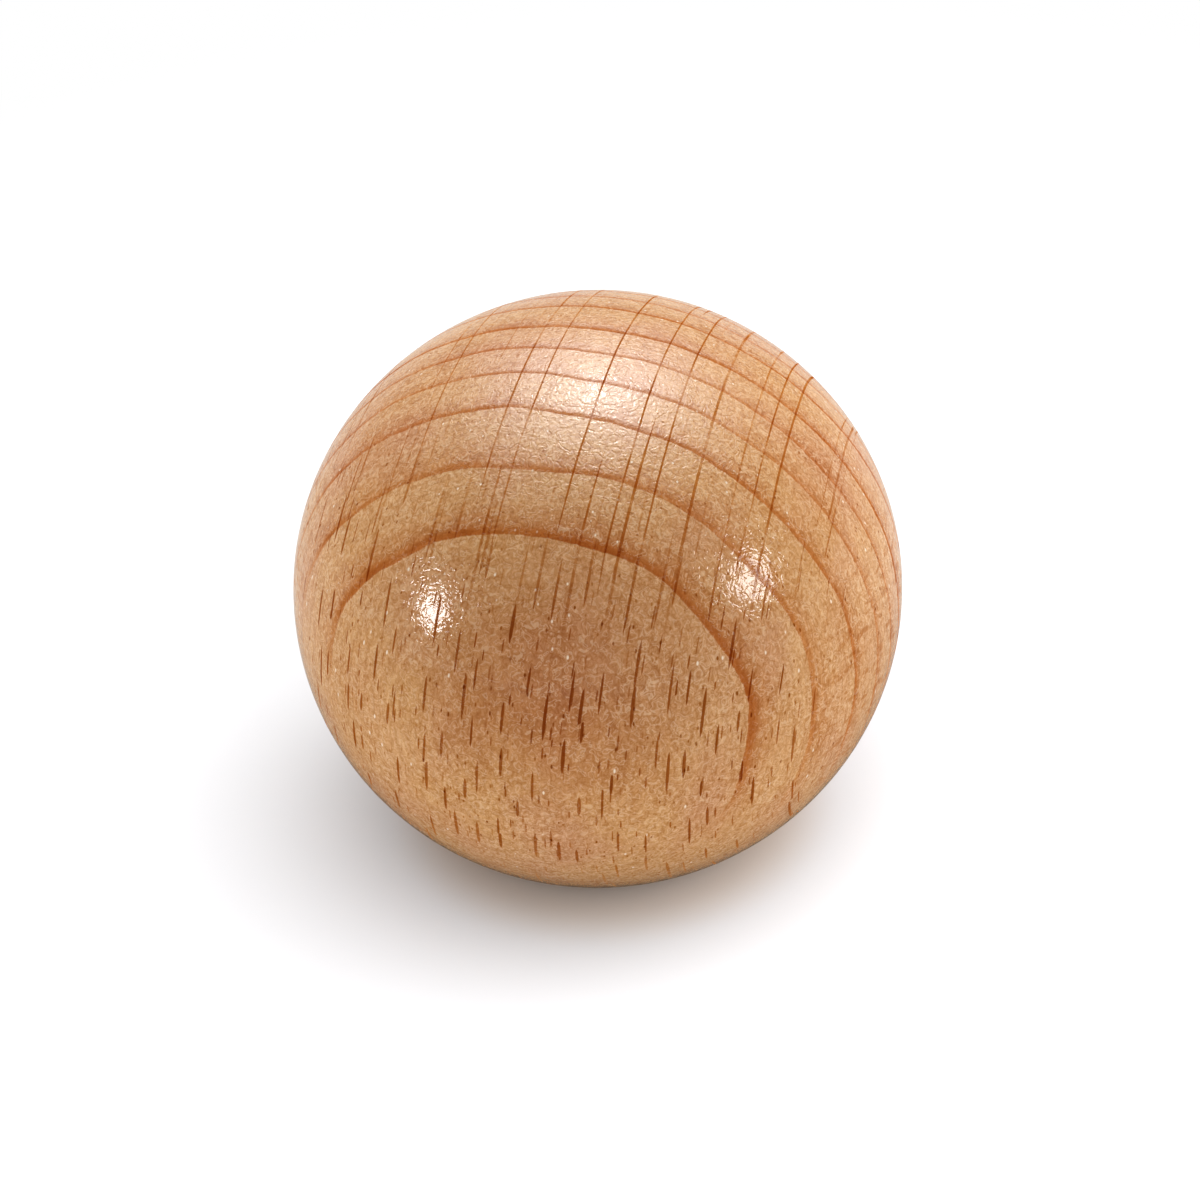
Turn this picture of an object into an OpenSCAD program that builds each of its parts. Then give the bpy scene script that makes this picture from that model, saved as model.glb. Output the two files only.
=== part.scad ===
// Ball cabinet knob: a lathe-turned beech ball with a small flat foot, drilled
// for a barbed brass insert that takes an M4 screw from inside the door.
// Origin: centre of the foot. +Z: along the knob, away from the door.

/* [Ball] */
// Diameter across the ball
ball_d = 40; // [24:1:60]
// Full height of the oval over its width: sanding leaves a ball a little short
ball_squash = 0.973; // [0.92:0.001:1]
// Diameter of the flat foot that sits on the door
foot_d = 14; // [12:0.5:18]

/* [Pocket] */
// Depth of the straight part of the pocket, from the foot
pocket_depth = 14; // [12.5:0.5:17]
// Point angle of the drill that made the pocket
drill_point = 118; // [90:1:150]
// Countersink round the pocket's mouth, measured on the radius
countersink = 0.5; // [0.2:0.1:0.8]

/* [Insert] */
// Diameter over the insert's barbs, which is also the pocket's
insert_d = 6.5; // [6:0.1:8]
// Overall length of the insert
insert_length = 10; // [8:0.5:11]
// How far the insert sits below the face of the foot
insert_sink = 0.3; // [0.1:0.1:0.8]
// Length of the plain collar at the insert's mouth
collar_length = 1.2; // [0.8:0.1:2]
// Chamfer round the collar's outer edge, measured on the radius
collar_chamfer = 0.2; // [0.1:0.05:0.4]
// Length of the tapered pilot at the insert's inner end
pilot_length = 1; // [0.6:0.1:1.6]
// How much the pilot narrows, measured on the radius
pilot_taper = 0.25; // [0.1:0.05:0.35]
// Number of barbs along the insert
barb_count = 5; // [3:1:7]
// Depth of the tooth behind each barb
barb_depth = 0.5; // [0.3:0.05:0.65]
// Share of each barb's pitch that is a straight land
barb_land = 0.3; // [0.15:0.05:0.5]
// Number of knurl grooves round the insert
knurl_count = 20; // [12:1:28]
// Depth of each knurl groove
knurl_depth = 0.25; // [0.1:0.05:0.35]

/* [Screw thread] */
// Outside diameter of the screw
thread_d = 4; // [3:0.5:4]
// Pitch of the screw's thread
thread_pitch = 0.7; // [0.5:0.1:0.8]
// Chamfer at each end of the threaded bore, measured on the radius
bore_chamfer = 0.45; // [0.2:0.05:0.6]

/* [Hidden] */
$fn = 96;

beech = [0.74, 0.55, 0.36];
brass = [0.80, 0.64, 0.30];

// How far a cutter reaches past a face, so that it leaves no skin there.
past = 1;

// The oval's half height, and its middle above the face of the foot.
polar_r = ball_d / 2 * ball_squash;
middle_z = polar_r * sqrt(1 - pow(foot_d / ball_d, 2));
ball_top = middle_z + polar_r;

// The barbs' crests meet the pocket's wall, so both share one radius.
pocket_r = insert_d / 2;
point_height = pocket_r / tan(drill_point / 2);

root_r = pocket_r - barb_depth;
barb_pitch = (insert_length - collar_length - pilot_length) / barb_count;

// The bore of a thread is its outside diameter less one pitch.
bore_r = (thread_d - thread_pitch) / 2;

// Half outline of the turned ball, from the middle of the foot to the crown.
module ball_outline() {
    intersection() {
        translate([0, middle_z])
            scale([1, ball_squash])
                circle(d = ball_d);
        square([ball_d, ball_top + past]);
    }
}

// Blind drilled pocket: countersunk mouth, straight wall, drill point.
module pocket() {
    translate([0, 0, -past])
        cylinder(r1 = pocket_r + countersink + past, r2 = pocket_r, h = countersink + past);
    translate([0, 0, -past])
        cylinder(r = pocket_r, h = pocket_depth + past);
    translate([0, 0, pocket_depth])
        cylinder(r1 = pocket_r, r2 = 0, h = point_height);
}

module ball() {
    color(beech)
        difference() {
            rotate_extrude() ball_outline();
            pocket();
        }
}

// The points of one barb: a straight land, then a ramp down to the next step,
// which faces the mouth and holds the insert in.
function barb(z) = [
    [pocket_r, z],
    [pocket_r, z + barb_pitch * barb_land],
    [root_r, z + barb_pitch]
];

// The insert as it comes off the lathe, bored and chamfered at both ends.
module insert_blank() {
    rotate_extrude()
        polygon([
            [bore_r, bore_chamfer],
            [bore_r + bore_chamfer, 0],
            [pocket_r - collar_chamfer, 0],
            [pocket_r, collar_chamfer],
            for (i = [0 : barb_count - 1])
                each barb(collar_length + i * barb_pitch),
            [root_r - pilot_taper, insert_length],
            [bore_r + bore_chamfer, insert_length],
            [bore_r, insert_length - bore_chamfer]
        ]);
}

// Straight V grooves across the barbs stop the insert turning in the wood.
module knurl_grooves() {
    for (i = [0 : knurl_count - 1])
        rotate(i * 360 / knurl_count)
            translate([pocket_r - knurl_depth, 0, collar_length])
                rotate(-45)
                    cube([2 * knurl_depth, 2 * knurl_depth, insert_length]);
}

module thread_insert() {
    color(brass)
        translate([0, 0, insert_sink])
            difference() {
                insert_blank();
                knurl_grooves();
            }
}

ball();
thread_insert();
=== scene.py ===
# Looks of a lathe-turned ball knob: steamed beech under clear gloss lacquer, with its brass insert.
import math
import bmesh
import bpy
from mathutils import Matrix, Quaternion, Vector, noise


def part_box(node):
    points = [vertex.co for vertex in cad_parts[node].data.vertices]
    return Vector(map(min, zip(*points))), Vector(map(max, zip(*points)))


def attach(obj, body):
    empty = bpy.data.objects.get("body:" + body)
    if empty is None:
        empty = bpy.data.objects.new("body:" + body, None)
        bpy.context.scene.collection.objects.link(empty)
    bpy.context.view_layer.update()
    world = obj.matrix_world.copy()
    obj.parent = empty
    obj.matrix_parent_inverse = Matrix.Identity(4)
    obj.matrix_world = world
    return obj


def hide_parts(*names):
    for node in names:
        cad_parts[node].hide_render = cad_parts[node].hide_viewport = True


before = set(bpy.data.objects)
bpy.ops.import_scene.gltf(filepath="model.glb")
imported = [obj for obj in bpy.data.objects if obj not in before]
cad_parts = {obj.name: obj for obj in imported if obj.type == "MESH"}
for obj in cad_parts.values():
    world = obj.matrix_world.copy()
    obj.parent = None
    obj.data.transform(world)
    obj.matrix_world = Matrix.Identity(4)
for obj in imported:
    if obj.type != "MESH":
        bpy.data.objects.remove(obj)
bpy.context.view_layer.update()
print("frame loaded:", sorted(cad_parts))

ballLow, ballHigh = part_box("ball")
insertLow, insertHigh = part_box("thread_insert")

mm = 0.001
ballRadius = (ballHigh.x - ballLow.x) / 2
insertRadius = (insertHigh.x - insertLow.x) / 2


def screenColour(red, green, blue):
    # a colour as a picture editor shows it, 0 to 255, made linear
    return tuple((c / 255) ** 2.2 for c in (red, green, blue)) + (1,)


# small helpers for shader nodes


def addNode(tree, kind, **settings):
    made = tree.nodes.new("ShaderNode" + kind)
    for name, value in settings.items():
        setattr(made, name, value)
    return made


def plug(tree, socket, value):
    if isinstance(value, bpy.types.NodeSocket):
        tree.links.new(value, socket)
    else:
        socket.default_value = value


def maths(tree, operation, *values, clamp=False):
    made = addNode(tree, "Math", operation=operation, use_clamp=clamp)
    for socket, value in zip(made.inputs, values):
        plug(tree, socket, value)
    return made.outputs[0]


def times(tree, first, *others):
    for other in others:
        first = maths(tree, "MULTIPLY", first, other)
    return first


def ramp(tree, value, start, end, low=0.0, high=1.0, smooth=False):
    made = addNode(tree, "MapRange")
    made.interpolation_type = "SMOOTHSTEP" if smooth else "LINEAR"
    for socket, given in zip(made.inputs, (value, start, end, low, high)):
        plug(tree, socket, given)
    return made.outputs[0]


def blendColour(tree, amount, first, second, mode="MIX"):
    made = addNode(tree, "Mix", data_type="RGBA", blend_type=mode)
    plug(tree, made.inputs["Factor"], amount)
    plug(tree, made.inputs[6], first)
    plug(tree, made.inputs[7], second)
    return made.outputs[2]


def absorb(tree, amount, colour, tint):
    # a darker part lets less light through, and keeps a strong colour as it deepens
    depth = addNode(tree, "Gamma")
    plug(tree, depth.inputs["Color"], tint)
    plug(tree, depth.inputs["Gamma"], amount)
    return blendColour(tree, 1.0, colour, depth.outputs[0], "MULTIPLY")


def splitAxes(tree, vector):
    made = addNode(tree, "SeparateXYZ")
    plug(tree, made.inputs[0], vector)
    return made.outputs


def stretch(tree, vector, scale, shift=(0, 0, 0)):
    made = addNode(tree, "Mapping")
    plug(tree, made.inputs["Vector"], vector)
    made.inputs["Scale"].default_value = scale
    made.inputs["Location"].default_value = shift
    return made.outputs[0]


def addNoise(tree, vector, size, detail=2.0, rough=0.5, twist=0.0):
    made = addNode(tree, "TexNoise")
    plug(tree, made.inputs["Vector"], vector)
    made.inputs["Scale"].default_value = 1 / size
    made.inputs["Detail"].default_value = detail
    made.inputs["Roughness"].default_value = rough
    made.inputs["Distortion"].default_value = twist
    return made


def cloud(tree, vector, size, detail=2.0, rough=0.5, twist=0.0):
    return addNoise(tree, vector, size, detail, rough, twist).outputs["Fac"]


def addBump(tree, height, distance):
    made = addNode(tree, "Bump")
    made.inputs["Strength"].default_value = 1.0
    made.inputs["Distance"].default_value = distance
    plug(tree, made.inputs["Height"], height)
    return made.outputs[0]


# the figure of the beech; lengths are in mm

beech = {
    "fibre": (0.137, 0.030, 0.990),  # along the tree's trunk
    "towardsPith": (0.296, 0.953, -0.070),
    "pithDistance": 160.0,  # from the ball's middle
    "sway": (0.3, 1.2, 0.6),  # how far the trunk sways round, inwards and along
    "swaySize": 9.0,
    # end of each year's growth, in front of the ball's middle, and how dark its line is
    "years": (
        (-17.2, 0.5), (-14.8, 0.6), (-12.6, 0.5), (-10.2, 0.7), (-8.0, 0.6), (-5.8, 0.6),
        (-3.4, 0.8), (-0.1, 0.8), (2.4, 0.6), (5.0, 0.6), (7.9, 0.75), (11.5, 0.65),
        (15.0, 1.0), (21.0, 0.6),
    ),
    "waver": 0.16,  # how far a ring wavers
    "waverSize": 1.1,
    # shares of a year: where its late wood darkens, and where the line at its end comes and goes
    "darkens": (0.35, 0.97),
    "lateCurve": 1.6,  # above 1, the dark sets in later
    "lineComes": (0.84, 0.96),
    "lineGoes": (0.985, 1.0),
    # the rings are weaker in patches, and fade between two heights where they run low
    "patchySize": 5.0,
    "patchy": (0.3, 0.7, 0.6, 1.0),
    "ringsFade": (-5.5, 4.5, 0.04, 1.0),
    "pale": screenColour(204, 154, 105),
    "gold": screenColour(201, 150, 98),
    "pink": screenColour(196, 141, 102),
    "heart": screenColour(177, 113, 72),
    # how the ground drifts from gold to pale, and from there to pink
    "driftSize": 13.0,
    "drift": (0.35, 0.65),
    "rosySize": 7.0,
    "rosy": (0.45, 0.7, 0, 0.8),
    # a soft patch of heart colour: its middle, how far it reaches, and how strong it is
    "blush": ((-1.2, -17.6, 24.5), 13.5, 0.56),
    # how much red, green and blue each darker part lets through
    "late": (0.77, 0.54, 0.37, 1),
    "yearLine": (0.77, 0.53, 0.32, 1),
    "ray": (0.42, 0.20, 0.07, 1),
    "rayOnEndGrain": (0.62, 0.36, 0.14, 1),
    "pore": (0.34, 0.16, 0.05, 1),
    # the fine texture runs between these two shades of the ground
    "deep": (0.84, 0.74, 0.62, 1),
    "light": (1.14, 1.20, 1.28, 1),
    # its parts: how tightly each is drawn round, inwards and along the trunk, and how strong it is
    "streak": ((4.2, 4.2, 0.55), 1.3),
    "band": ((0.55, 5.6, 0.22), 1.2),
    "speck": ((1, 1, 0.6), 1.0),
    "speckSize": 0.13,
    "textureLevel": -1.25,
    # rays seen as dashes, one to a cell: width and height of a cell, half width and half length
    # of a dash, and how its chance, between the first two numbers, makes it faint or dark
    "broadRays": ((1.7, 3.9), (0.105, 1.7), (0, 1, 0.70, 1.0)),
    "smallRays": ((0.95, 1.7), (0.062, 0.6), (0.2, 1, 0.1, 0.85)),
    "tallRays": ((2.0, 15.0), (0.105, 8.5), (0, 1, 0.65, 1.0)),
    # the shortest and the narrowest dash, as shares of the longest and widest; how soft its edge is
    "shortest": 0.4,
    "narrowest": 0.6,
    "dashEdge": 0.25,
    "taller": -0.012,  # how the dashes lengthen up the ball
    "tallBreaks": (0.35, 0.55, 0.45, 1.0),  # the tall ones fade in places
    "tallFrom": (0.35, 0.7),  # they lie on the upper part, towards the end grain
    "endGrain": (0.35, 0.85),
    # on end grain the dashes are thinner, and the broad ones and the pores are fainter
    "thinner": 0.15,
    "fainterRays": 0.85,
    "fainterPores": 0.5,
    "rayOpen": 0.4,  # how open a ray's grain is, beside a pore's
    # on the flanks the dashes fade, and patches come in
    "raysFade": (0.62, 0.84),
    "patchesCome": (0.66, 0.88),
    "patchStretch": (0.7, 0.6, 1.9),
    "patches": (0.57, 0.64, 0.0, 0.26),
    # pores: how close they lie, the size of one, how dark its chance makes it, how few become painted
    # glints
    "poreStretch": (2.1, 2.1, 0.9),
    "poreSize": (0.09, 0.20),
    "poreDark": (0.3, 1, 0.1, 0.9),
    "paintedGlintChance": 0.91,
}


def trunkPlace(tree, where):
    # turns the object's axes to the tree's: x round the trunk, y to the pith, z up the fibre
    fibre = Vector(beech["fibre"]).normalized()
    pith = Vector(beech["towardsPith"])
    pith = (pith - fibre * pith.dot(fibre)).normalized()
    turn = Matrix((pith.cross(fibre), pith, fibre))
    middle = Vector((0, 0, ballMiddle)) / mm
    grain = addNode(tree, "Mapping")
    plug(tree, grain.inputs["Vector"], where)
    grain.inputs["Scale"].default_value = (1 / mm,) * 3
    grain.inputs["Rotation"].default_value = turn.to_euler()
    grain.inputs["Location"].default_value = -(turn @ middle)

    # a slow sway of the trunk
    sway = addNoise(tree, grain.outputs[0], beech["swaySize"], 1.0)
    centred = addNode(tree, "VectorMath", operation="SUBTRACT")
    plug(tree, centred.inputs[0], sway.outputs["Color"])
    centred.inputs[1].default_value = (0.5, 0.5, 0.5)
    swayed = addNode(tree, "VectorMath", operation="MULTIPLY_ADD")
    plug(tree, swayed.inputs[0], centred.outputs[0])
    swayed.inputs[1].default_value = beech["sway"]
    plug(tree, swayed.inputs[2], grain.outputs[0])
    return grain.outputs[0], swayed.outputs[0]


def roundPith(tree, across, inwards):
    # how far out of the ball's own ring a place lies, and how far round the trunk
    back = maths(tree, "SUBTRACT", beech["pithDistance"], inwards)
    flat = addNode(tree, "CombineXYZ")
    plug(tree, flat.inputs[0], across)
    plug(tree, flat.inputs[1], back)
    radius = addNode(tree, "VectorMath", operation="LENGTH")
    plug(tree, radius.inputs[0], flat.outputs[0])
    depth = maths(tree, "SUBTRACT", radius.outputs["Value"], beech["pithDistance"])
    around = times(tree, maths(tree, "ARCTAN2", across, back), beech["pithDistance"])
    return depth, around


def yearCurves(tree, depth):
    # phase counts the years from the pith outwards, strength is how dark the year ends
    years = beech["years"]
    first, last = years[0][0], years[-1][0]
    along = ramp(tree, depth, first, last)
    phase = addNode(tree, "FloatCurve")
    strength = addNode(tree, "FloatCurve")
    for node in (phase, strength):
        plug(tree, node.inputs["Value"], along)
    for index, (edge, dark) in enumerate(years):
        x = (edge - first) / (last - first)
        for node, y in ((phase, index / (len(years) - 1)), (strength, dark)):
            points = node.mapping.curves[0].points
            if index == 0:
                points[0].location = (0, y)
            elif index == len(years) - 1:
                points[-1].location = (1, y)
            else:
                points.new(x, y)
    for node in (phase, strength):
        for point in node.mapping.curves[0].points:
            point.handle_type = "VECTOR"
        node.mapping.update()
    count = times(tree, phase.outputs[0], len(years) - 1)
    return maths(tree, "FRACT", count), strength.outputs[0]


def addYears(tree, place, depth, low, strength):
    # the wood darkens slowly towards each year's end and starts pale again
    waver = maths(tree, "SUBTRACT", cloud(tree, place, beech["waverSize"]), 0.5)
    phase, dark = yearCurves(tree, maths(tree, "MULTIPLY_ADD", waver, beech["waver"], depth))
    late = ramp(tree, phase, *beech["darkens"], smooth=True)
    late = maths(tree, "POWER", late, beech["lateCurve"])
    line = times(tree, ramp(tree, phase, *beech["lineComes"], smooth=True),
                 ramp(tree, phase, *beech["lineGoes"], 1.0, 0.0))
    patchy = ramp(tree, cloud(tree, place, beech["patchySize"]), *beech["patchy"])
    patchy = times(tree, patchy, ramp(tree, low, *beech["ringsFade"], smooth=True))
    dark = times(tree, dark, strength)
    return times(tree, late, dark, patchy), times(tree, line, dark, patchy)


def groundColour(tree, where, place):
    # it drifts between gold, pale and pinkish brown
    drift = cloud(tree, place, beech["driftSize"], 1.0)
    drift = ramp(tree, drift, *beech["drift"], smooth=True)
    ground = blendColour(tree, drift, beech["gold"], beech["pale"])
    moved = stretch(tree, place, (1, 1, 0.6), (31, 7, 11))  # so that the two drifts differ
    rosy = ramp(tree, cloud(tree, moved, beech["rosySize"]), *beech["rosy"])
    ground = blendColour(tree, rosy, ground, beech["pink"])
    spot, reach, strong = beech["blush"]
    away = addNode(tree, "VectorMath", operation="DISTANCE")
    plug(tree, away.inputs[0], where)
    away.inputs[1].default_value = Vector(spot) * mm
    near = ramp(tree, away.outputs["Value"], reach * mm, 0.1 * reach * mm, 0, strong, smooth=True)
    return blendColour(tree, near, ground, beech["heart"])


def addTexture(tree, place, ground):
    # faint streaks up the trunk, bands round it that show on end grain, and specks
    streak = cloud(tree, stretch(tree, place, beech["streak"][0]), 1.0, 2.0, 0.6)
    band = cloud(tree, stretch(tree, place, beech["band"][0]), 1.0, 1.0, 0.6)
    speck = cloud(tree, stretch(tree, place, beech["speck"][0]), beech["speckSize"], 0.0, 0.5, 0.6)
    tone = maths(tree, "MULTIPLY_ADD", streak, beech["streak"][1], beech["textureLevel"])
    tone = maths(tree, "MULTIPLY_ADD", band, beech["band"][1], tone)
    tone = maths(tree, "MULTIPLY_ADD", speck, beech["speck"][1], tone)
    shade = blendColour(tree, ramp(tree, tone, 0, 1), beech["deep"], beech["light"])
    return blendColour(tree, 1.0, ground, shade, "MULTIPLY"), band


def dashes(tree, around, along, thin, kind):
    # short dark dashes, pointed at both ends
    cell, half, dark = beech[kind]
    place = addNode(tree, "CombineXYZ")
    plug(tree, place.inputs[0], maths(tree, "DIVIDE", around, cell[0]))
    plug(tree, place.inputs[1], maths(tree, "DIVIDE", along, cell[1]))
    cells = addNode(tree, "TexVoronoi", voronoi_dimensions="2D")
    plug(tree, cells.inputs["Vector"], place.outputs[0])
    cells.inputs["Scale"].default_value = 1.0
    off = addNode(tree, "VectorMath", operation="SUBTRACT")
    plug(tree, off.inputs[0], place.outputs[0])
    plug(tree, off.inputs[1], cells.outputs["Position"])
    aside, above, _ = splitAxes(tree, off.outputs[0])
    chance = addNode(tree, "SeparateColor")
    plug(tree, chance.inputs[0], cells.outputs["Color"])
    length = ramp(tree, chance.outputs[0], 0, 1, half[1] * beech["shortest"], half[1])
    width = ramp(tree, chance.outputs[1], 0, 1, half[0] * beech["narrowest"], half[0])
    width = times(tree, width, thin)
    up = maths(tree, "DIVIDE", times(tree, above, cell[1]), length)
    body = maths(tree, "SUBTRACT", 1, maths(tree, "POWER", maths(tree, "ABSOLUTE", up), 4))
    side = times(tree, maths(tree, "ABSOLUTE", aside), cell[0])
    inside = maths(tree, "SUBTRACT", times(tree, width, body), side)
    edge = beech["dashEdge"]
    inside = ramp(tree, maths(tree, "DIVIDE", inside, width), -edge, edge, smooth=True)
    return times(tree, inside, ramp(tree, chance.outputs[2], *dark))


def addRays(tree, grain, place, around, along):
    # thin sheets from pith to bark, seen as dashes, as long lines on end grain
    facing = addNode(tree, "VectorMath", operation="NORMALIZE")
    plug(tree, facing.inputs[0], grain)
    sideways, _, upwards = splitAxes(tree, facing.outputs[0])
    flank = times(tree, sideways, sideways)
    endGrain = ramp(tree, maths(tree, "ABSOLUTE", upwards), *beech["endGrain"], smooth=True)
    thin = maths(tree, "SQRT", maths(tree, "SUBTRACT", 1.02, flank))
    thin = times(tree, thin, maths(tree, "MULTIPLY_ADD", endGrain, -beech["thinner"], 1.0))
    raised = maths(tree, "MAXIMUM", along, 0)
    taller = maths(tree, "MULTIPLY_ADD", times(tree, raised, raised), beech["taller"], along)
    broad = times(tree, dashes(tree, around, taller, thin, "broadRays"),
                  maths(tree, "MULTIPLY_ADD", endGrain, -beech["fainterRays"], 1.0))
    small = times(tree, dashes(tree, around, taller, thin, "smallRays"),
                  maths(tree, "SUBTRACT", 1, endGrain))
    breaks = cloud(tree, stretch(tree, place, (1, 0.25, 1)), 1.6, 1.0)
    tall = times(tree, dashes(tree, around, along, thin, "tallRays"),
                 ramp(tree, upwards, *beech["tallFrom"]), ramp(tree, breaks, *beech["tallBreaks"]))
    rays = maths(tree, "MAXIMUM", maths(tree, "MAXIMUM", broad, small), tall)

    # on the two flanks the sheets lie flat to the surface, and show as soft flecks instead
    rays = times(tree, rays, ramp(tree, flank, *beech["raysFade"], 1.0, 0.0, smooth=True))
    patches = cloud(tree, stretch(tree, place, beech["patchStretch"]), 1.0, 1.0)
    patches = times(tree, ramp(tree, patches, *beech["patches"]),
                    ramp(tree, flank, *beech["patchesCome"], smooth=True))
    return maths(tree, "MAXIMUM", rays, patches), endGrain


def addPores(tree, place, endGrain):
    # short fine tubes up the fibre, dots on end grain; a few are left out of the dark pores and become
    # painted glints
    tubes = addNode(tree, "TexVoronoi")
    plug(tree, tubes.inputs["Vector"], stretch(tree, place, beech["poreStretch"]))
    tubes.inputs["Scale"].default_value = 1.0
    dots = ramp(tree, tubes.outputs["Distance"], *beech["poreSize"], 1.0, 0.0, smooth=True)
    chance = addNode(tree, "SeparateColor")
    plug(tree, chance.inputs[0], tubes.outputs["Color"])
    paintedGlints = times(tree, dots, maths(tree, "GREATER_THAN", chance.outputs[1], beech["paintedGlintChance"]))
    pores = times(tree, maths(tree, "SUBTRACT", dots, paintedGlints),
                  ramp(tree, chance.outputs[0], *beech["poreDark"]),
                  maths(tree, "MULTIPLY_ADD", endGrain, -beech["fainterPores"], 1.0))
    return pores, paintedGlints


def makeBeechFigure():
    tree = bpy.data.node_groups.new("beechFigure", "ShaderNodeTree")
    sockets = tree.interface
    sockets.new_socket(name="Place", in_out="INPUT", socket_type="NodeSocketVector")
    yearLines = sockets.new_socket(name="Year Lines", in_out="INPUT", socket_type="NodeSocketFloat")
    yearLines.default_value = 1.0
    sockets.new_socket(name="Color", in_out="OUTPUT", socket_type="NodeSocketColor")
    for name in ("Open Grain", "Fine Lines", "Dark Marks", "Painted Glints"):
        sockets.new_socket(name=name, in_out="OUTPUT", socket_type="NodeSocketFloat")
    given = tree.nodes.new("NodeGroupInput")
    made = tree.nodes.new("NodeGroupOutput")

    grain, place = trunkPlace(tree, given.outputs["Place"])
    across, inwards, along = splitAxes(tree, place)
    depth, around = roundPith(tree, across, inwards)
    low = maths(tree, "MULTIPLY_ADD", across, 0.2, along)
    late, line = addYears(tree, place, depth, low, given.outputs["Year Lines"])
    colour = groundColour(tree, given.outputs["Place"], place)
    colour = absorb(tree, late, colour, beech["late"])
    colour = absorb(tree, line, colour, beech["yearLine"])
    colour, band = addTexture(tree, place, colour)
    rays, endGrain = addRays(tree, grain, place, around, along)
    rayTint = blendColour(tree, endGrain, beech["ray"], beech["rayOnEndGrain"])
    colour = absorb(tree, rays, colour, rayTint)
    pores, paintedGlints = addPores(tree, place, endGrain)
    colour = absorb(tree, pores, colour, beech["pore"])

    marks = maths(tree, "MAXIMUM", maths(tree, "MAXIMUM", rays, pores), line)
    plug(tree, made.inputs["Color"], colour)
    opened = maths(tree, "MAXIMUM", times(tree, rays, beech["rayOpen"]), pores)
    plug(tree, made.inputs["Open Grain"], opened)
    plug(tree, made.inputs["Fine Lines"], band)
    plug(tree, made.inputs["Dark Marks"], marks)
    plug(tree, made.inputs["Painted Glints"], paintedGlints)
    return tree


# the ball

ball = {
    "squash": 0.973,  # full height of the oval over its width
    "countersink": 0.5 * mm,
    "pocketDepth": 14 * mm,
    "drillPoint": 118,  # degrees
    "round": 320,  # faces round the ball
    "tall": 200,
    "sanding": 0.035 * mm,  # how far the sanded surface strays
    "sandingSize": 11 * mm,
    "sandedFrom": 4 * mm,  # above the foot, which stays flat
}
polarRadius = ballRadius * ball["squash"]
ballMiddle = ballHigh.z - polarRadius
mergeDistance = 0.001 * mm


def extrudeRim(bm, rim, radius, height):
    made = bmesh.ops.extrude_edge_only(bm, edges=rim)["geom"]
    for point in (v for v in made if isinstance(v, bmesh.types.BMVert)):
        out = point.co.xy.normalized() * radius
        point.co = (out.x, out.y, height)
    return [e for e in made if isinstance(e, bmesh.types.BMEdge)]


def finishMesh(bm, name, materials, sharpAngle=30):
    bmesh.ops.recalc_face_normals(bm, faces=bm.faces)
    for edge in bm.edges:
        edge.smooth = edge.calc_face_angle(0) < math.radians(sharpAngle)
    for face in bm.faces:
        face.smooth = True
    mesh = bpy.data.meshes.new(name)
    bm.to_mesh(mesh)
    bm.free()
    for material in materials:
        mesh.materials.append(material)
    piece = bpy.data.objects.new(name, mesh)
    bpy.context.scene.collection.objects.link(piece)
    return piece


def makeBall(lacquered, bare):
    bm = bmesh.new()
    bmesh.ops.create_uvsphere(bm, u_segments=ball["round"], v_segments=ball["tall"], radius=ballRadius)
    bmesh.ops.scale(bm, vec=(1, 1, ball["squash"]), verts=bm.verts)
    bmesh.ops.translate(bm, vec=(0, 0, ballMiddle), verts=bm.verts)
    cut = bmesh.ops.bisect_plane(bm, geom=bm.verts[:] + bm.edges[:] + bm.faces[:],
                                 plane_co=(0, 0, 0), plane_no=(0, 0, 1), clear_inner=True)
    foot = [e for e in cut["geom_cut"] if isinstance(e, bmesh.types.BMEdge)]

    # hand sanding leaves the oval a hair out of true
    for point in bm.verts:
        out = (point.co - Vector((0, 0, ballMiddle))).normalized()
        stray = (noise.noise(point.co / ball["sandingSize"]) - 1) / 2 * ball["sanding"]
        point.co += out * stray * min(point.co.z / ball["sandedFrom"], 1)

    depth = ball["pocketDepth"]
    tip = depth + insertRadius / math.tan(math.radians(ball["drillPoint"] / 2))
    mouth = insertRadius + ball["countersink"]
    rim = extrudeRim(bm, foot, mouth, 0)
    rim = extrudeRim(bm, rim, insertRadius, ball["countersink"])
    rim = extrudeRim(bm, rim, insertRadius, depth)
    extrudeRim(bm, rim, 0, tip)
    bmesh.ops.remove_doubles(bm, verts=bm.verts, dist=mergeDistance)

    # the foot and the pocket are bare wood
    for face in bm.faces:
        middle = face.calc_center_median()
        onFoot = middle.z < mergeDistance
        inPocket = middle.xy.length < mouth and middle.z < tip
        face.material_index = int(onFoot or inPocket)
    return finishMesh(bm, "turnedBall", [lacquered, bare])


# the insert

insert = {
    "collar": 1.2 * mm,
    "collarChamfer": 0.2 * mm,
    "pilot": 1.0 * mm,
    "pilotTaper": 0.25 * mm,
    "barbs": 5,
    "barbDepth": 0.5 * mm,
    "barbLand": 0.3,
    "grooves": 20,
    "grooveDepth": 0.25 * mm,
    "boreChamfer": 0.45 * mm,
    "thread": 4 * mm,
    "pitch": 0.7 * mm,
    # shares of a pitch: half the flat at the thread's root, and each of its flanks
    "rootFlat": 0.0625,
    "flank": 0.3125,
    "round": 160,  # faces round the insert
    "rowsPerPitch": 16,
}
boreRadius = (insert["thread"] - insert["pitch"]) / 2


def threadRadius(turn, height):
    # a thread of about 60 degrees, with a flat at the root and a wider one at the crest
    away = abs((height / insert["pitch"] - turn) % 1 - 0.5)
    share = min(max((insert["rootFlat"] + insert["flank"] - away) / insert["flank"], 0), 1)
    return boreRadius + (insert["thread"] / 2 - boreRadius) * share


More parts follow.
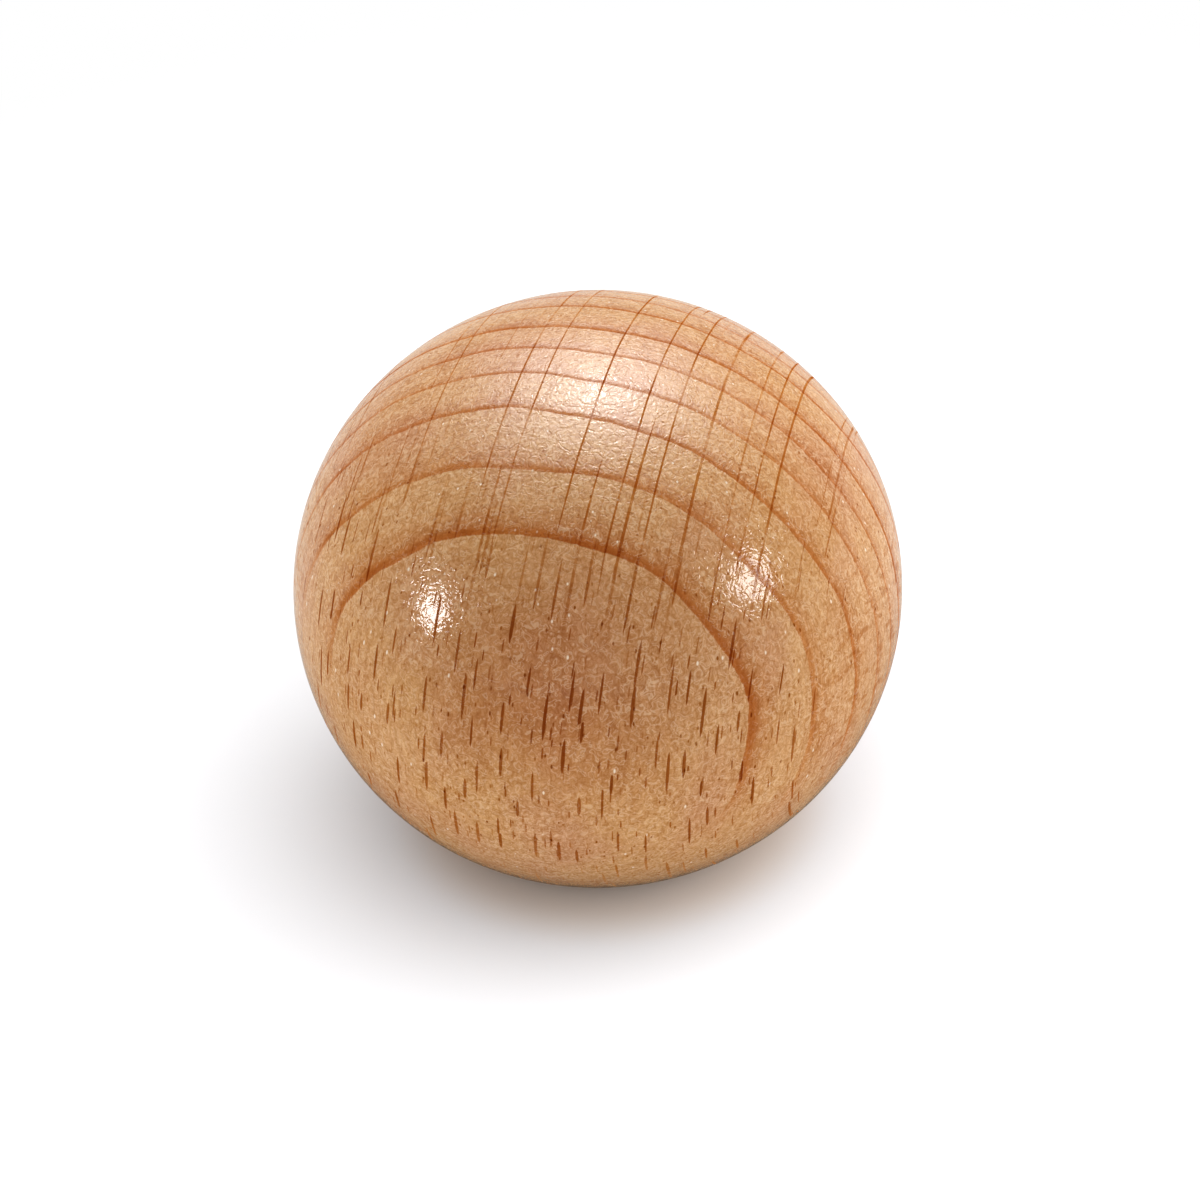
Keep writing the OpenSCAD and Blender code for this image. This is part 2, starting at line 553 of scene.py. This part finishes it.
def insertOutline(length, mouth):
    root = insertRadius - insert["barbDepth"]
    pitch = (length - insert["collar"] - insert["pilot"]) / insert["barbs"]
    outline = [(mouth, 0), (insertRadius - insert["collarChamfer"], 0)]
    outline += [(insertRadius, insert["collarChamfer"])]
    for barb in range(insert["barbs"]):
        low = insert["collar"] + barb * pitch
        land = low + pitch * insert["barbLand"]
        outline += [(insertRadius, low), (insertRadius, land), (root, low + pitch)]
    outline += [(root - insert["pilotTaper"], length)]
    rows = round(length / insert["pitch"] * insert["rowsPerPitch"])
    return outline + [(mouth, length * (1 - row / rows)) for row in range(rows)]


def makeInsert(material):
    length = insertHigh.z - insertLow.z
    mouth = boreRadius + insert["boreChamfer"]
    bm = bmesh.new()
    points = [bm.verts.new((radius, 0, height)) for radius, height in insertOutline(length, mouth)]
    for pair in zip(points, points[1:] + points[:1]):
        bm.edges.new(pair)
    bmesh.ops.spin(bm, geom=bm.verts[:] + bm.edges[:], cent=(0, 0, 0), axis=(0, 0, 1),
                   angle=math.tau, steps=insert["round"], use_merge=True)
    bmesh.ops.remove_doubles(bm, verts=bm.verts, dist=mergeDistance)

    # the thread in the bore, and the knurl grooves along the barbs
    for point in bm.verts:
        turn = math.atan2(point.co.y, point.co.x) / math.tau
        radius = point.co.xy.length
        height = point.co.z
        if radius < mouth + mergeDistance and 0 < height < length:
            cone = mouth - min(height, length - height)
            radius = max(cone, threadRadius(turn, height))
        elif height > insert["collar"]:
            away = abs((turn * insert["grooves"]) % 1 - 0.5) / insert["grooves"]
            groove = insertRadius - insert["grooveDepth"] + away * math.tau * insertRadius
            radius = min(radius, groove)
        out = point.co.xy.normalized() * radius
        point.co = (out.x, out.y, height)
    bmesh.ops.translate(bm, vec=(0, 0, insertLow.z), verts=bm.verts)
    return finishMesh(bm, "brassInsert", [material])


# finishes


def startMaterial(name):
    material = bpy.data.materials.new(name)
    material.use_nodes = True
    tree = material.node_tree
    shader = tree.nodes["Principled BSDF"]
    where = addNode(tree, "TexCoord").outputs["Object"]
    return material, tree, shader, where


def addFigure(tree, where, figure, yearLines=1.0):
    made = addNode(tree, "Group")
    made.node_tree = figure
    plug(tree, made.inputs["Place"], where)
    made.inputs["Year Lines"].default_value = yearLines
    return made.outputs


lacquer = {
    "gloss": 0.05,  # roughness
    "underneath": 0.5,  # the wood's own
    "overMarks": 1.5,  # how much of the gloss is lost where it has sunk into dark marks
    # crinkles run in loops: size, how many to a loop, how twisted, and their height in mm
    "loops": (0.62 * mm, 3.4, 0.5, 0.0021),
    "hairs": (0.50 * mm, 3.0, 0.9, 0.0009),
    # size, and height in mm
    "waves": (4.0 * mm, 0.030),
    "grit": (0.16 * mm, 0.0010),
    # how far the wood's lines stand up and its open grain sinks, in mm
    "lineHeight": 0.006,
    "sunk": 0.014,
    "crown": (24 * mm, 34 * mm),  # it crinkles more towards the top
    "crownCrinkles": 3.4,
    # the finest crinkles are busier on the swell of a wave; how strong the painted highlight on their
    # crests and the painted shade in their hollows are
    "busy": (0.30, 0.65, 0.65, 1.0),
    "crests": (0.7, 1.0, 0.0, 0.36),
    "paintedHollowRamp": (-0.6, -1.0),
    # painted glint colour, for a few pores
    "paintedGlint": screenColour(240, 218, 190),
    # painted highlight colour on crinkle crests, and the tint of the painted shade in their hollows
    "crest": screenColour(240, 205, 165),
    "paintedHollowShade": (0.84, 0.73, 0.58, 1),
}


def lacqueredBeech(figure):
    material, tree, shader, where = startMaterial("lacqueredBeech")
    wood = addFigure(tree, where, figure)

    # the clear coat lies in slow waves and dries in fine curling crinkles
    height = splitAxes(tree, where)[2]
    more = ramp(tree, height, *lacquer["crown"], 1.0, lacquer["crownCrinkles"], smooth=True)
    waves = cloud(tree, where, lacquer["waves"][0], 1.0)
    heights = times(tree, waves, lacquer["waves"][1])
    curls = {}
    for name in ("loops", "hairs"):
        size, count, twist, high = lacquer[name]
        turns = cloud(tree, where, size, 1.0, 0.5, twist)
        curls[name] = maths(tree, "SINE", times(tree, turns, count * math.tau))
        heights = maths(tree, "MULTIPLY_ADD", times(tree, curls[name], more), high, heights)
    grit = cloud(tree, where, lacquer["grit"][0], 1.0)
    heights = maths(tree, "MULTIPLY_ADD", grit, lacquer["grit"][1], heights)
    plug(tree, shader.inputs["Coat Normal"], addBump(tree, heights, mm))

    # it sinks into the open grain, and loses its gloss there
    sunk = maths(tree, "MULTIPLY_ADD", wood["Fine Lines"], lacquer["lineHeight"], heights)
    sunk = maths(tree, "MULTIPLY_ADD", wood["Open Grain"], -lacquer["sunk"], sunk)
    plug(tree, shader.inputs["Normal"], addBump(tree, sunk, mm))
    plug(tree, shader.inputs["Coat Weight"],
         maths(tree, "MULTIPLY_ADD", wood["Dark Marks"], -lacquer["overMarks"], 1.0, clamp=True))
    shader.inputs["Coat Roughness"].default_value = lacquer["gloss"]
    shader.inputs["Coat IOR"].default_value = 1.5
    shader.inputs["Roughness"].default_value = lacquer["underneath"]
    shader.inputs["Specular IOR Level"].default_value = 0.0

    # painted highlight on the crests of the finest crinkles and painted shade in their hollows, put
    # into the base colour
    bare = maths(tree, "SUBTRACT", 1, wood["Dark Marks"])
    busy = times(tree, ramp(tree, waves, *lacquer["busy"]), bare)
    crest = times(tree, ramp(tree, curls["hairs"], *lacquer["crests"], smooth=True), busy)
    lit = blendColour(tree, crest, wood["Color"], lacquer["crest"])
    paintedHollowShade = times(tree, ramp(tree, curls["hairs"], *lacquer["paintedHollowRamp"], smooth=True), busy)
    lit = absorb(tree, paintedHollowShade, lit, lacquer["paintedHollowShade"])
    # painted glints: a few pores painted pale in the base colour
    lit = blendColour(tree, times(tree, wood["Painted Glints"], bare), lit, lacquer["paintedGlint"])
    plug(tree, shader.inputs["Base Color"], lit)
    return material


bareWood = {
    "yearLines": 0.8,
    "roughness": 0.62,
    "fuzz": 0.18 * mm,  # size
    "fuzzHeight": 0.03 * mm,
}


def bareBeech(figure):
    material, tree, shader, where = startMaterial("bareBeech")
    wood = addFigure(tree, where, figure, bareWood["yearLines"])
    plug(tree, shader.inputs["Base Color"], wood["Color"])
    shader.inputs["Roughness"].default_value = bareWood["roughness"]
    fuzz = cloud(tree, where, bareWood["fuzz"], 3.0, 0.7)
    plug(tree, shader.inputs["Normal"], addBump(tree, fuzz, bareWood["fuzzHeight"]))
    return material


brass = {
    "bright": screenColour(226, 186, 106),
    "dull": screenColour(186, 142, 74),
    "tarnish": 1.6 * mm,  # size
    "cuts": 0.8 * mm,  # size of the marks that the lathe left, before they are drawn round
    "cutsDrawn": 30,
    "cutDepth": 0.004 * mm,
    "roughness": (0.22, 0.42),
}


def turnedBrass():
    material, tree, shader, where = startMaterial("turnedBrass")
    shader.inputs["Metallic"].default_value = 1.0
    tarnish = ramp(tree, cloud(tree, where, brass["tarnish"], 3.0), 0.35, 0.7)
    plug(tree, shader.inputs["Base Color"], blendColour(tree, tarnish, brass["bright"], brass["dull"]))
    cuts = cloud(tree, stretch(tree, where, (1, 1, brass["cutsDrawn"])), brass["cuts"])
    plug(tree, shader.inputs["Roughness"], ramp(tree, cuts, 0.3, 0.7, *brass["roughness"]))
    plug(tree, shader.inputs["Normal"], addBump(tree, cuts, brass["cutDepth"]))
    return material


# the knob, put together

figure = makeBeechFigure()
print("beech figure made")
turned = makeBall(lacqueredBeech(figure), bareBeech(figure))
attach(turned, "root")
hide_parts("ball")
print("ball turned:", len(turned.data.polygons), "faces")
pressed = makeInsert(turnedBrass())
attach(pressed, "root")
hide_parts("thread_insert")
print("insert pressed in:", len(pressed.data.polygons), "faces")

# the stage; lengths are in metres from the middle of the foot

stage = {
    "floor": 1.6,  # across
    "fade": (0.05, 0.11),  # where the floor turns plain white
    "mirroredFade": (0.30, 0.60),  # the same, as polished pieces mirror it
    "paper": (0.437, 0.44, 0.452, 1),
    # painted shade: the paper round the foot is darker where the wood's diffuse light sees it
    "paintedShadeSeenByWood": (0.30, 0.29, 0.28, 1),  # how the wood sees the paper round its foot
    "paintedShadeReach": (0.035, 0.013),
    # how the lacquer sees the paper, beside the knob and behind it
    "mirrored": ((0.09, 0.08, 0.07, 1), (0.28, 0.255, 0.23, 1)),
    "behind": (-0.005, 0.032),
    "paintedBounceAndShade": (0.41, 0.365, 0.33, 1),  # painted warm light and painted shade on the paper close to the knob, for the light off the wood and the shade under it
    "paintedBounceReach": (0.0155, 0.0105),
}


def makeFloor():
    material, tree, shader, where = startMaterial("paleFloor")
    tree.nodes.remove(shader)
    seenBy = addNode(tree, "LightPath").outputs
    length = addNode(tree, "VectorMath", operation="LENGTH")
    plug(tree, length.inputs[0], where)
    away = length.outputs["Value"]
    # painted warm light and shade on the paper round the foot
    paintedBounceMask = ramp(tree, away, *stage["paintedBounceReach"], smooth=True)
    shown = blendColour(tree, paintedBounceMask, stage["paper"], stage["paintedBounceAndShade"])
    # painted shade near the foot, seen only by diffuse rays
    paintedShadeMask = times(tree, seenBy["Is Diffuse Ray"], ramp(tree, away, *stage["paintedShadeReach"], smooth=True))
    shown = blendColour(tree, paintedShadeMask, shown, stage["paintedShadeSeenByWood"])
    behind = ramp(tree, splitAxes(tree, where)[1], *stage["behind"], smooth=True)
    mirrored = blendColour(tree, behind, *stage["mirrored"])
    paper = addNode(tree, "BsdfDiffuse")
    plug(tree, paper.inputs["Color"], blendColour(tree, seenBy["Is Glossy Ray"], shown, mirrored))

    # farther off it is plain white, to the eye and in what metal and glass show
    toEye = times(tree, seenBy["Is Camera Ray"], ramp(tree, away, *stage["fade"], smooth=True))
    polished = maths(tree, "MAXIMUM", seenBy["Is Glossy Ray"], seenBy["Is Transmission Ray"])
    toPolished = times(tree, polished, ramp(tree, away, *stage["mirroredFade"], smooth=True))
    white = addNode(tree, "Emission")
    mix = addNode(tree, "MixShader")
    plug(tree, mix.inputs[0], maths(tree, "MAXIMUM", toEye, toPolished))
    plug(tree, mix.inputs[1], paper.outputs[0])
    plug(tree, mix.inputs[2], white.outputs[0])
    plug(tree, tree.nodes["Material Output"].inputs["Surface"], mix.outputs[0])

    bm = bmesh.new()
    bmesh.ops.create_grid(bm, x_segments=1, y_segments=1, size=stage["floor"] / 2)
    floor = finishMesh(bm, "floor", [material])
    return floor


lamps = {
    # direction from the knob, size and distance in metres, brightness in watts, what it lights
    "overhead": ((0.25, 0.44, 0.865), (0.48, 0.38), 0.45, 1.16, "knob"),
    "leftSide": ((-0.867, -0.407, 0.286), (0.14, 0.14), 0.45, 0.42, "knob"),
    "rightSide": ((0.863, -0.402, 0.307), (0.16, 0.16), 0.45, 0.52, "knob"),
    "skyPanel": ((0.50, -0.55, 0.83), (2.0, 2.0), 0.55, 41.5, "floor"),
}


def makeReceivers(**groups):
    # each lamp lights only the knob or only the paper floor
    made = {}
    for name, pieces in groups.items():
        made[name] = bpy.data.collections.new(name + "Lit")
        for piece in pieces:
            made[name].objects.link(piece)
    return made


def makeLamps(receivers):
    middle = Vector((0, 0, ballMiddle))
    for name, (towards, size, distance, watts, lit) in lamps.items():
        lamp = bpy.data.lights.new(name, "AREA")
        lamp.shape = "ELLIPSE"
        lamp.size, lamp.size_y = size
        lamp.energy = watts
        thing = bpy.data.objects.new(name, lamp)
        direction = Vector(towards).normalized()
        thing.location = middle + direction * distance
        thing.rotation_euler = direction.to_track_quat("Z", "Y").to_euler()
        thing.visible_camera = False
        thing.visible_glossy = False  # gloss and metal mirror the room's glow and discs instead
        thing.light_linking.receiver_collection = receivers[lit]
        bpy.context.scene.collection.objects.link(thing)


room = {
    "front": (0.0, -0.819, 0.574),  # towards the camera, where the room is dark
    "frontReach": (1.05, -0.3),
    "pale": 1.48,  # how bright it is behind the knob
    # as the lacquer mirrors it: dark, but for a pale wall behind and a soft glow overhead
    "mirroredReach": (-0.70, -0.98),
    "mirrored": (0.05, 0.8),
    "glowFrom": (0.075, 0.463, 0.883),
    "glows": ((10.2, 0.32), (24.0, 0.05)),  # the glow round a brighter core: how bright, how wide
    # the lamps at the sides: direction, half width in radians, brightness
    "discs": (((-0.892, -0.360, 0.235), 0.105, 20.0), ((0.863, -0.402, 0.307), 0.13, 14.0)),
}


def makeWorld():
    world = bpy.data.worlds.new("studio")
    world.use_nodes = True
    tree = world.node_tree
    background = tree.nodes["Background"]
    background.inputs["Color"].default_value = (1, 1, 1, 1)
    look = addNode(tree, "TexCoord").outputs["Generated"]

    def towards(direction):
        made = addNode(tree, "VectorMath", operation="DOT_PRODUCT")
        plug(tree, made.inputs[0], look)
        made.inputs[1].default_value = Vector(direction).normalized()
        return made.outputs["Value"]

    front = towards(room["front"])
    plain = ramp(tree, front, *room["frontReach"], 0, room["pale"], smooth=True)
    mirrored = ramp(tree, front, *room["mirroredReach"], *room["mirrored"], smooth=True)
    for direction, reach, bright in room["discs"]:
        outer, inner = math.cos(reach * 1.1), math.cos(reach * 0.9)
        mirrored = maths(tree, "ADD", mirrored, ramp(tree, towards(direction), outer, inner, 0, bright))
    glow = towards(room["glowFrom"])
    aside = maths(tree, "SUBTRACT", times(tree, glow, glow), 1)
    for bright, spread in room["glows"]:
        fall = maths(tree, "POWER", math.e, maths(tree, "DIVIDE", aside, 2 * spread ** 2))
        mirrored = maths(tree, "MULTIPLY_ADD", fall, bright, mirrored)
    seenBy = addNode(tree, "LightPath").outputs
    level = ramp(tree, seenBy["Is Glossy Ray"], 0, 1, plain, mirrored)
    level = ramp(tree, seenBy["Is Camera Ray"], 0, 1, level, 1.0)
    plug(tree, background.inputs["Strength"], level)
    bpy.context.scene.world = world


view = {
    "elevation": 35.0,
    "roll": -4.4,
    "distance": 0.44,
    "picture": 1200,  # pixels
    "ballAt": (597.8, 588.4),
    "ballHalfWidth": 304.9,
}


def makeCamera():
    camera = bpy.data.cameras.new("camera")
    camera.sensor_width = 36
    half = view["picture"] / 2
    spread = math.tan(math.asin(ballRadius / view["distance"])) * half / view["ballHalfWidth"]
    camera.lens = camera.sensor_width / 2 / spread
    thing = bpy.data.objects.new("camera", camera)
    tilt = math.radians(view["elevation"])
    back = Vector((0, -math.cos(tilt), math.sin(tilt)))
    turn = (-back).to_track_quat("-Z", "Y") @ Quaternion((0, 0, 1), math.radians(view["roll"]))
    pixel = ballRadius / view["ballHalfWidth"]
    aside = Vector((half - view["ballAt"][0], view["ballAt"][1] - half, 0)) * pixel
    thing.rotation_euler = turn.to_euler()
    thing.location = Vector((0, 0, ballMiddle)) + back * view["distance"] + turn @ aside
    bpy.context.scene.collection.objects.link(thing)
    bpy.context.scene.camera = thing


floor = makeFloor()
makeLamps(makeReceivers(knob=[turned, pressed], floor=[floor]))
makeWorld()
makeCamera()
bpy.context.scene.view_settings.view_transform = "Standard"
print("stage set")
